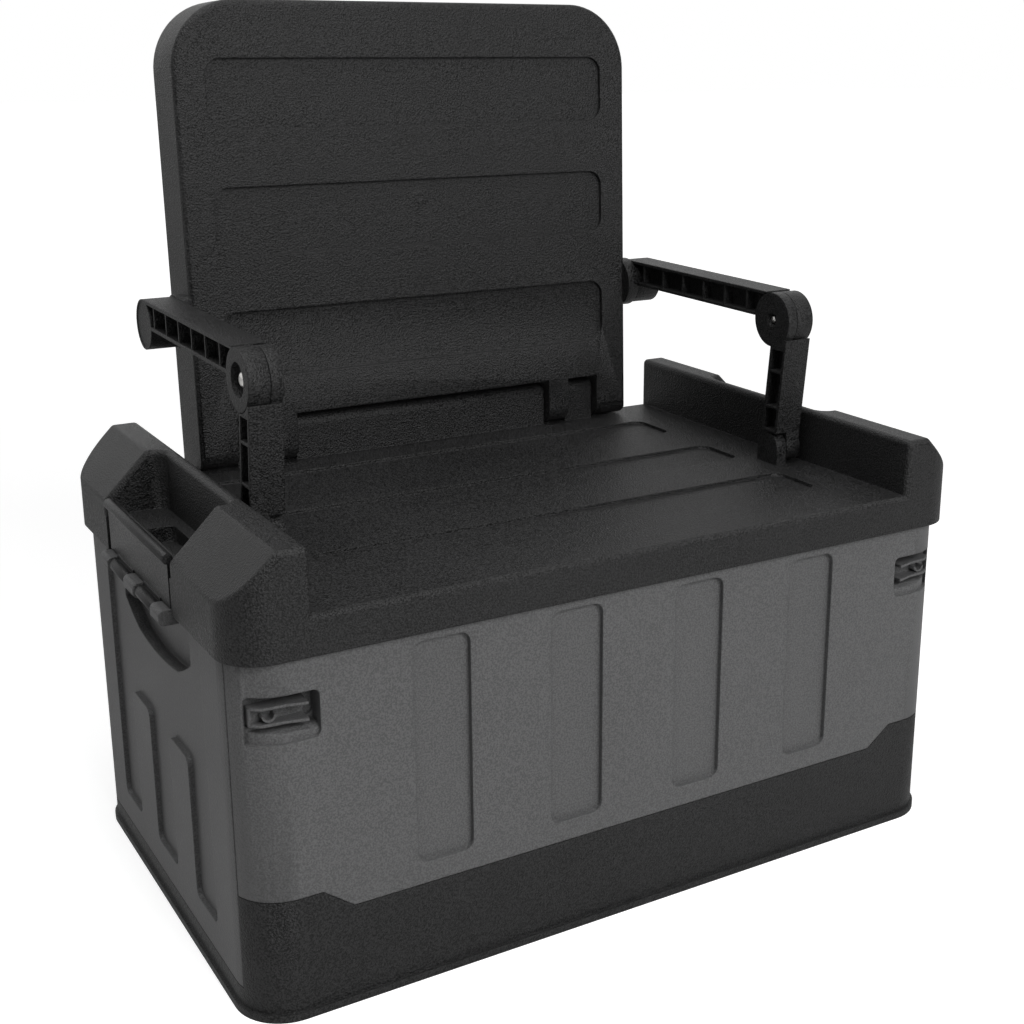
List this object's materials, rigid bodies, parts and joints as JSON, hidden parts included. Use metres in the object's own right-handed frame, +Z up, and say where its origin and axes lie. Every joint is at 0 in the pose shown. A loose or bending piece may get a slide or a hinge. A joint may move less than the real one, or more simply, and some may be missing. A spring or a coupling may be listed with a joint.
{
  "type": "fishing seat box",
  "caption": "Folding angler's seat box: crate of hinged panels on a base tray, lift-off seat lid, fold-forward backrest and linked armrests, end clasps and slide latches.",
  "frame": {"origin": "on the floor under the middle of the base tray", "axes": "+X along the length towards the right end, +Y to the back where the backrest stands, +Z up"},
  "size_m": [0.572, 0.3712, 0.6072],
  "materials": {
    "black_plastic": "fine moulded grain",
    "grey_plastic": "fine moulded grain",
    "steel": "plain turned steel"
  },
  "bodies": {
    "crate": {"base_tray": "black_plastic", "front_panel": "grey_plastic", "back_panel": "grey_plastic", "left_end_panel": "grey_plastic", "right_end_panel": "grey_plastic", "front_hinge_rod": "steel", "back_hinge_rod": "steel", "left_end_rod": "steel", "right_end_rod": "steel", "left_clasp_pin": "steel", "right_clasp_pin": "steel"},
    "lid": {"lid": "black_plastic", "left_hinge_pin": "steel", "right_hinge_pin": "steel", "left_lower_pin": "steel", "right_lower_pin": "steel"},
    "backrest": {"backrest": "black_plastic", "left_upper_pin": "steel", "right_upper_pin": "steel"},
    "left_arm": {"left_arm": "black_plastic", "left_elbow_screw": "steel"},
    "right_arm": {"right_arm": "black_plastic", "right_elbow_screw": "steel"},
    "left_link": {"left_link": "black_plastic"},
    "right_link": {"right_link": "black_plastic"},
    "left_clasp": {"left_clasp": "black_plastic"},
    "right_clasp": {"right_clasp": "black_plastic"},
    "latch_front_left": {"latch_front_left": "grey_plastic"},
    "latch_front_right": {"latch_front_right": "grey_plastic"},
    "latch_back_left": {"latch_back_left": "grey_plastic"},
    "latch_back_right": {"latch_back_right": "grey_plastic"}
  },
  "joints": [
    {"name": "lid_lift", "type": "slide", "parent": "crate", "child": "lid", "axis": [0, 0, 1], "range_m": [0, 0.15]},
    {"name": "backrest_fold", "type": "hinge", "parent": "lid", "child": "backrest", "pos_m": [0, 0.156, 0.279], "axis": [1, 0, 0], "range_deg": [0, 80]},
    {"name": "left_arm_hinge", "type": "hinge", "parent": "backrest", "child": "left_arm", "pos_m": [-0.2105, 0.156, 0.379], "axis": [1, 0, 0], "range_deg": [-80, 0]},
    {"name": "left_link_hinge", "type": "hinge", "parent": "lid", "child": "left_link", "pos_m": [-0.2105, -0.046, 0.2755], "axis": [1, 0, 0], "range_deg": [0, 80]},
    {"name": "right_arm_hinge", "type": "hinge", "parent": "backrest", "child": "right_arm", "pos_m": [0.2105, 0.156, 0.379], "axis": [1, 0, 0], "range_deg": [-80, 0]},
    {"name": "right_link_hinge", "type": "hinge", "parent": "lid", "child": "right_link", "pos_m": [0.2105, -0.046, 0.2755], "axis": [1, 0, 0], "range_deg": [0, 80]},
    {"name": "left_clasp_hinge", "type": "hinge", "parent": "crate", "child": "left_clasp", "pos_m": [-0.281, 0.007, 0.2345], "axis": [0, -1, 0], "range_deg": [0, 165]},
    {"name": "right_clasp_hinge", "type": "hinge", "parent": "crate", "child": "right_clasp", "pos_m": [0.281, 0.007, 0.2345], "axis": [0, 1, 0], "range_deg": [0, 165]},
    {"name": "latch_front_left_slide", "type": "slide", "parent": "crate", "child": "latch_front_left", "axis": [1, 0, 0], "range_m": [0, 0.005]},
    {"name": "latch_front_right_slide", "type": "slide", "parent": "crate", "child": "latch_front_right", "axis": [-1, 0, 0], "range_m": [0, 0.005]},
    {"name": "latch_back_left_slide", "type": "slide", "parent": "crate", "child": "latch_back_left", "axis": [1, 0, 0], "range_m": [0, 0.005]},
    {"name": "latch_back_right_slide", "type": "slide", "parent": "crate", "child": "latch_back_right", "axis": [-1, 0, 0], "range_m": [0, 0.005]}
  ],
  "couplings": [
    {"joint": "left_arm_hinge", "follows": "backrest_fold", "ratio": -1},
    {"joint": "left_link_hinge", "follows": "backrest_fold", "ratio": 1},
    {"joint": "right_arm_hinge", "follows": "backrest_fold", "ratio": -1},
    {"joint": "right_link_hinge", "follows": "backrest_fold", "ratio": 1}
  ]
}
